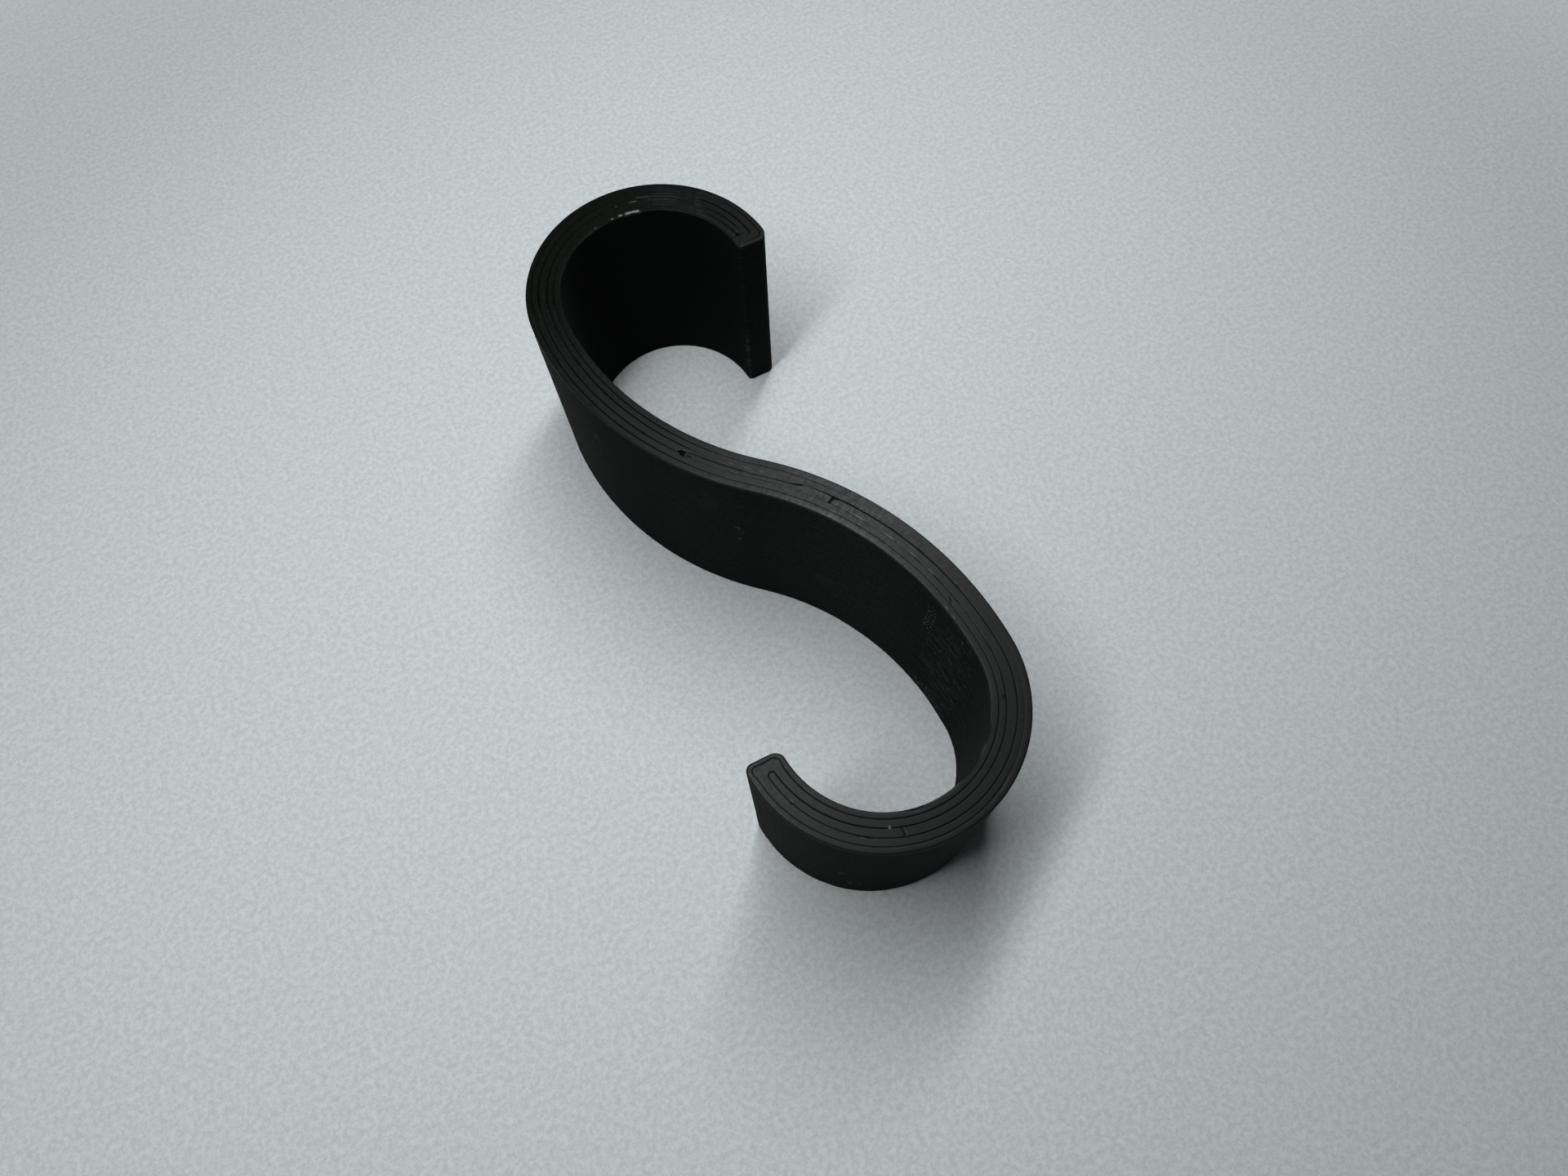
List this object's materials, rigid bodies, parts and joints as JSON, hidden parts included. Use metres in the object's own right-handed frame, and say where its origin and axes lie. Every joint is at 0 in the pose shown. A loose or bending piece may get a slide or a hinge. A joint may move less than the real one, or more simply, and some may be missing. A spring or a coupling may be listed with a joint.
{
  "type": "s hook",
  "caption": "S-shaped plastic hook, printed in one piece as an upright band, with a half-round hook at each end, opening to opposite sides.",
  "frame": {"origin": "middle of the S, on the side face that the hook lies on: the centre of the bounding box's bottom", "axes": "+Y from the lower hook's centre to the upper hook's centre, +Z along the height of the band, away from the face it lies on; seen from +Z the hook reads as the letter S"},
  "size_m": [0.016, 0.046, 0.015],
  "materials": {
    "black_plastic": "satin, with the roads and layers of a 3D print"
  },
  "bodies": {
    "root": {"s_hook": "black_plastic"}
  },
  "joints": []
}
